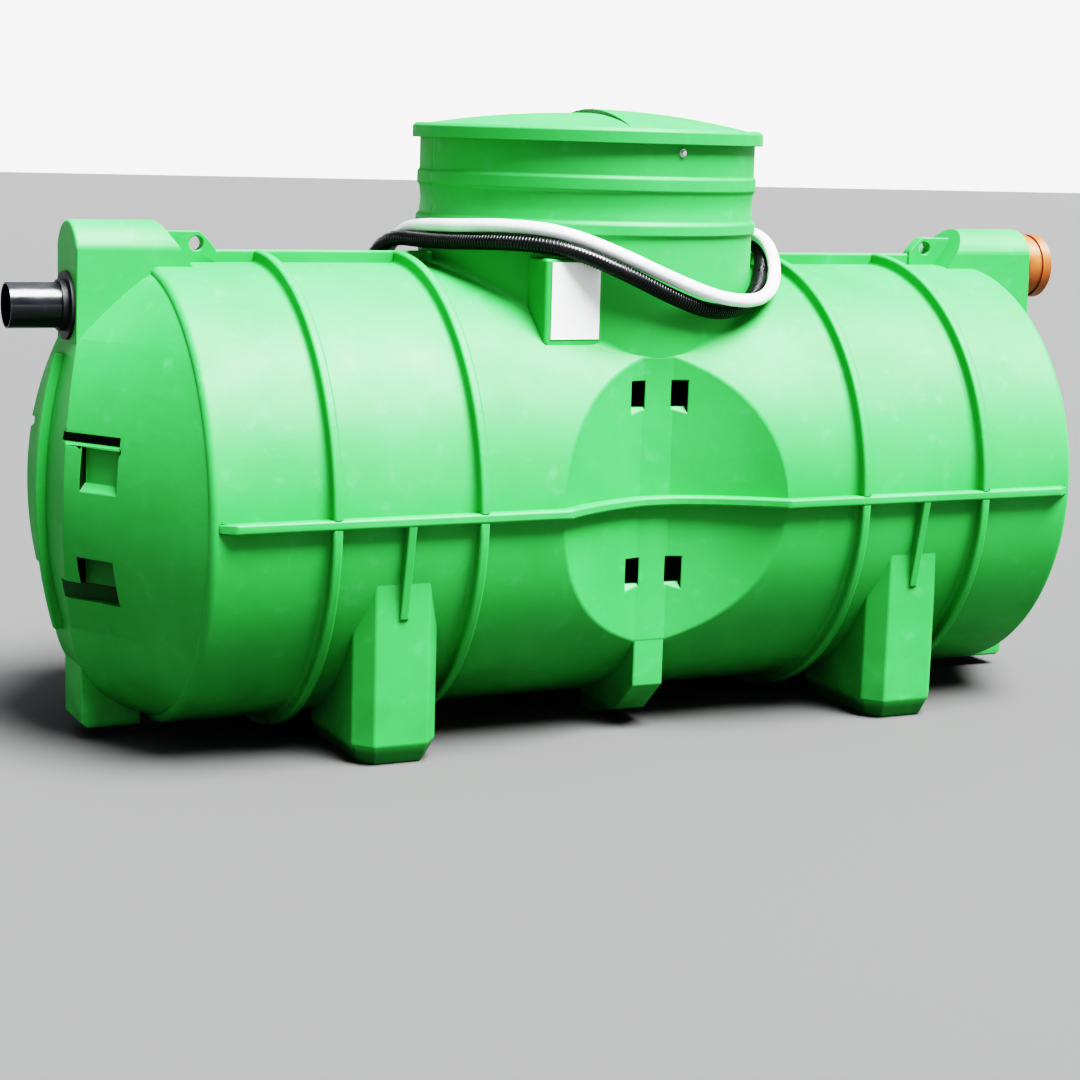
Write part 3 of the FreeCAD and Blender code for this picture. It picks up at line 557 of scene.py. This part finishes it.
def polished_black(name, roughness):
    material, tree, shader, coords = plain_material(name, pipe_colour, roughness)
    dust = grey_ramp(tree, noise_on(tree, coords, 16.0, 8.0), 0.5, 0.75, 0.0, 0.25)
    colour = mix_colours(tree, dust, pipe_clean, pipe_dusty)
    tree.links.new(colour, shader.inputs["Base Color"])
    rough = grey_ramp(tree, noise_on(tree, coords, 24.0, 6.0), 0.3, 0.7, roughness, roughness + 0.12)
    tree.links.new(rough, shader.inputs["Roughness"])
    ripple = bump_from(tree, noise_on(tree, coords, 60.0, 3.0), 0.04, 0.001)
    tree.links.new(ripple, shader.inputs["Normal"])
    return material


finish_node("outlet_pipe", polished_black("pipe_black", 0.16))
finish_node("outlet_seal", polished_black("rubber_black", 0.50))


# Inlet socket
# An orange-brown drain socket of unplasticised vinyl, moulded with a bead at its mouth, sits in the
# other housing. It is dull and a little dusty.
socket_colour = (0.27, 0.065, 0.018)
socket_dark = (0.235, 0.052, 0.014)
socket_light = (0.300, 0.080, 0.024)


def drain_orange():
    material, tree, shader, coords = plain_material("drain_orange", socket_colour, 0.42)
    tone = ramp_on(tree, noise_on(tree, coords, 12.0, 6.0), [(0.35, socket_dark), (0.7, socket_light)])
    tree.links.new(tone, shader.inputs["Base Color"])
    rough = grey_ramp(tree, noise_on(tree, coords, 30.0, 5.0), 0.3, 0.7, 0.34, 0.52)
    tree.links.new(rough, shader.inputs["Roughness"])
    ripple = bump_from(tree, noise_on(tree, coords, 90.0, 3.0), 0.05, 0.001)
    tree.links.new(ripple, shader.inputs["Normal"])
    return material


finish_node("inlet_socket", drain_orange())


# Neck and riser
# The access neck is moulded with the barrel and has a hollow curve at its root, which runs out at
# the waist strips. The riser of the same polyethylene stands on it and has two rings.
neck_root_radius = 0.014
neck_root_start_x = 0.07
neck_root_least = 0.02
neck_steps = 180

for side in ("front", "back"):
    rounded_copy(f"riser_{side}", 0.003, 20.0)


def neck_root():
    shape = bmesh.new()
    rows = []
    for step in range(neck_steps):
        turn = math.tau * step / neck_steps
        out = Vector((math.cos(turn), math.sin(turn), 0.0))
        growth = (abs(out.x) * neck_radius - neck_root_start_x) / neck_root_start_x
        size = neck_root_radius * min(max(growth, neck_root_least), 1.0)
        y = neck_radius * out.y
        foot = Vector((middle_x + neck_radius * out.x, y, axis_height + rim_height(y)))
        slope = Vector((0.0, y, foot.z - axis_height)).normalized()
        along_wall = (out - slope * out.dot(slope)).normalized()
        rows.append(root_profile(shape, foot, along_wall, Vector((0, 0, 1)), size))
    for row, following in zip(rows, rows[1:] + rows[:1]):
        for column in range(root_steps):
            shape.faces.new((row[column], following[column], following[column + 1], row[column + 1]))
    face_from_axis(shape)
    show(piece_from("neck_root", shape, green))


neck_root()


# Lid and its screw
# A moulded lid drops over the riser; its dome has a step across the middle. A pan-head steel screw
# with a washer below the rim keeps it on.
screw_height = 0.868
screw_direction = Vector((0.045, -0.438, 0.0)).normalized()
washer_radius = 0.011
washer_top_radius = 0.010
washer_thickness = 0.003
head_radius = 0.008
head_top_radius = 0.0055
head_height = 0.006
screw_sides = 32

rounded_copy("lid", 0.002, 25.0, dark_below=0.68)


def bright_steel():
    material, tree, shader, coords = plain_material("bright_steel", (0.55, 0.55, 0.56), 0.35)
    shader.inputs["Metallic"].default_value = 1.0
    rough = grey_ramp(tree, noise_on(tree, coords, 150.0, 4.0), 0.3, 0.7, 0.25, 0.5)
    tree.links.new(rough, shader.inputs["Roughness"])
    return material


def lid_screw():
    shape = bmesh.new()
    for radius, top_radius, height, below in (
        (washer_radius, washer_top_radius, washer_thickness, 0.0),
        (head_radius, head_top_radius, head_height, washer_thickness),
    ):
        disc = bmesh.ops.create_cone(
            shape, cap_ends=True, segments=screw_sides, radius1=radius, radius2=top_radius, depth=height
        )["verts"]
        bmesh.ops.translate(shape, verts=disc, vec=(0, 0, below + 0.5 * height))
    turn = screw_direction.to_track_quat("Z", "Y").to_matrix()
    bmesh.ops.rotate(shape, verts=shape.verts, cent=(0, 0, 0), matrix=turn)
    place = Vector((middle_x, 0.0, axis_height + screw_height)) + screw_direction * neck_radius
    bmesh.ops.translate(shape, verts=shape.verts, vec=place)
    show(piece_from("lid_screw", shape, bright_steel()))


lid_screw()


# Label box and plate
# A flat-faced box of the same polyethylene is moulded against the front of the neck. It carries a
# thin bare plate of white plastic.
plate_colour = (0.85, 0.86, 0.86)
plate_dark = (0.80, 0.81, 0.81)
plate_light = (0.90, 0.90, 0.90)

rounded_copy("label_box", 0.008, 30.0, segments=4)


def plate_white():
    material, tree, shader, coords = plain_material("plate_white", plate_colour, 0.35)
    tone = ramp_on(tree, noise_on(tree, coords, 18.0, 6.0), [(0.35, plate_dark), (0.7, plate_light)])
    tree.links.new(tone, shader.inputs["Base Color"])
    return material


finish_node("label_plate", plate_white())


# Feet
# Hollow block feet moulded under the barrel, with chamfered corners, a bevelled sole and a fin up to
# the flange; the waist strips run down into sloping toes, and each end has a foot and a low rib.
foot_round = 0.004
for side in ("front", "back"):
    for end in ("left", "right"):
        rounded_copy(f"foot_{side}_{end}", foot_round, 14.0, joins_flats=True)
rounded_copy("centre_feet", foot_round, 14.0, joins_flats=True)
for end in ("left", "right"):
    rounded_copy(f"end_foot_{end}", foot_round, 20.0, joins_flats=True)


# Hoses
# A smooth white air hose and a black corrugated conduit come out of two black glands at the right
# rear of the neck, lie together round its front and end on the back of the barrel.
air_points = [
    (0.4676, 0.1580, 1.2420), (0.5203, 0.0340, 1.2570), (0.5225, -0.0767, 1.2530),
    (0.5138, -0.1612, 1.2160), (0.4787, -0.2455, 1.1550), (0.4170, -0.3250, 1.1160),
    (0.3220, -0.4130, 1.0980), (0.1890, -0.4700, 1.1090), (0.0434, -0.4830, 1.1580),
    (-0.0962, -0.4584, 1.2200), (-0.2269, -0.3949, 1.2710), (-0.3364, -0.2964, 1.2800),
    (-0.4108, -0.1652, 1.2720), (-0.4426, -0.0199, 1.2680), (-0.4400, 0.1150, 1.2520),
    (-0.4360, 0.2450, 1.1820), (-0.4185, 0.3300, 1.0885),
]
conduit_points = [
    (0.4243, 0.2538, 1.1860), (0.5274, 0.1231, 1.2150), (0.5520, -0.0135, 1.2300),
    (0.5140, -0.1150, 1.1900), (0.4640, -0.1910, 1.1640), (0.4030, -0.2850, 1.1220),
    (0.3020, -0.3820, 1.0780), (0.1800, -0.4430, 1.0720), (0.0486, -0.4730, 1.1130),
    (-0.0928, -0.4744, 1.1770), (-0.2272, -0.4192, 1.2325), (-0.3338, -0.3137, 1.2400),
    (-0.4084, -0.1848, 1.2330), (-0.4524, -0.0399, 1.2300), (-0.4740, 0.0950, 1.2320),
    (-0.4760, 0.2250, 1.1850), (-0.4665, 0.3200, 1.0987),
]
air_radius = 0.017
conduit_radius = 0.018
ring_radius = 0.020
ring_pitch = 0.0085
ring_share = 0.45
ring_wall = 0.0022
ring_sides = 20


def route_curve(name, points, radius):
    curve = bpy.data.curves.new(name, "CURVE")
    curve.dimensions = "3D"
    curve.resolution_u = 24
    curve.bevel_depth = radius
    curve.bevel_resolution = 6
    curve.use_fill_caps = True
    spline = curve.splines.new("NURBS")
    spline.points.add(len(points) - 1)
    for point, place in zip(spline.points, points):
        point.co = (*place, 1.0)
    spline.order_u = 3
    spline.use_endpoint_u = True
    return bpy.data.objects.new(name, curve)


def hose_material(name, dark, light, roughness):
    material, tree, shader, coords = plain_material(name, light, roughness)
    tone = ramp_on(tree, noise_on(tree, coords, 11.0, 7.0), [(0.35, dark), (0.6, light)])
    tree.links.new(tone, shader.inputs["Base Color"])
    rough = grey_ramp(tree, noise_on(tree, coords, 25.0, 5.0), 0.3, 0.7, roughness, roughness + 0.15)
    tree.links.new(rough, shader.inputs["Roughness"])
    return material


hose_white = hose_material("hose_white", (0.66, 0.69, 0.70), (0.80, 0.83, 0.84), 0.30)
air_hose = route_curve("air_hose_tube", air_points, air_radius)
air_hose.data.materials.append(hose_white)
show(air_hose, ["air_hose"])

conduit_black = hose_material("conduit_black", (0.003, 0.003, 0.004), (0.006, 0.006, 0.007), 0.24)
conduit = route_curve("conduit_core", conduit_points, conduit_radius)
conduit.data.materials.append(conduit_black)
show(conduit, ["cable_conduit"])


def conduit_rings():
    line = route_curve("conduit_line", conduit_points, 0.0)
    walk = bpy.data.meshes.new_from_object(line)
    places = [vertex.co.copy() for vertex in walk.vertices]
    bpy.data.meshes.remove(walk)
    bpy.data.objects.remove(line)
    shape = bmesh.new()
    travelled = 0.0
    following = ring_pitch
    for start, end in zip(places, places[1:]):
        run = (end - start).length
        while following <= travelled + run:
            centre = start.lerp(end, (following - travelled) / run)
            turn = (end - start).to_track_quat("Z", "Y").to_matrix()
            ring = bmesh.ops.create_cone(
                shape, cap_ends=False, segments=ring_sides, radius1=ring_radius, radius2=ring_radius,
                depth=ring_share * ring_pitch,
            )["verts"]
            bmesh.ops.rotate(shape, verts=ring, cent=(0, 0, 0), matrix=turn)
            bmesh.ops.translate(shape, verts=ring, vec=centre)
            following += ring_pitch
        travelled += run
    for face in shape.faces:
        face.smooth = True
    rings = piece_from("conduit_rings", shape, conduit_black)
    thick = rings.modifiers.new("ring_wall", "SOLIDIFY")
    thick.thickness = ring_wall
    thick.offset = -1.0
    show(rings)
    return rings


rings = conduit_rings()
finish_node("hose_glands", polished_black("gland_black", 0.35))


# Studio
# A plain floor, one broad key light from high at the front right, a sky that is bright at the
# horizon and overhead, and a camera at the photo's viewpoint.
floor_half_size = 60.0
floor_colour = (0.06, 0.06, 0.06)
sky_stops = [
    (0.00, (1.00, 1.00, 1.00)), (0.06, (1.00, 1.00, 1.00)), (0.10, (0.06, 0.06, 0.06)),
    (0.45, (0.10, 0.10, 0.11)), (0.85, (0.50, 0.52, 0.54)), (1.00, (0.65, 0.67, 0.68)),
]
sky_strength = 1.3
key_place = Vector((1.5, -2.4, 5.7))
key_strength = 10.0
key_spread = 34.0
camera_place = (-2.81770, -5.66863, 1.50960)
camera_turns = (80.25947, -1.68259, -25.56644)


def stage_floor():
    shape = bmesh.new()
    bmesh.ops.create_grid(shape, x_segments=1, y_segments=1, size=floor_half_size)
    floor = piece_from("floor", shape, plain_material("pale_floor", floor_colour, 0.9)[0])
    bpy.context.collection.objects.link(floor)


stage_floor()


def studio_sky():
    world = bpy.data.worlds.new("studio")
    bpy.context.scene.world = world
    world.use_nodes = True
    tree = world.node_tree
    up = add_node(tree, "ShaderNodeSeparateXYZ")
    tree.links.new(add_node(tree, "ShaderNodeTexCoord").outputs["Generated"], up.inputs["Vector"])
    background = tree.nodes["Background"]
    tree.links.new(ramp_on(tree, up.outputs["Z"], sky_stops), background.inputs["Color"])
    background.inputs["Strength"].default_value = sky_strength


studio_sky()
key_lamp = bpy.data.lights.new("key_light", "SUN")
key_lamp.energy = key_strength
key_lamp.angle = math.radians(key_spread)
key_light = bpy.data.objects.new("key_light", key_lamp)
key_light.rotation_euler = (-key_place).to_track_quat("-Z", "Y").to_euler()
bpy.context.collection.objects.link(key_light)

view = bpy.context.scene.view_settings
view.view_transform = "Filmic"
view.look = "Very High Contrast"
view.exposure = 1.0
view.gamma = 0.9

camera_lens = bpy.data.cameras.new("camera")
camera_lens.sensor_width = 36.0
camera_lens.lens = 79.268
camera = bpy.data.objects.new("camera", camera_lens)
camera.location = camera_place
camera.rotation_euler = tuple(math.radians(turn) for turn in camera_turns)
bpy.context.collection.objects.link(camera)
bpy.context.scene.camera = camera
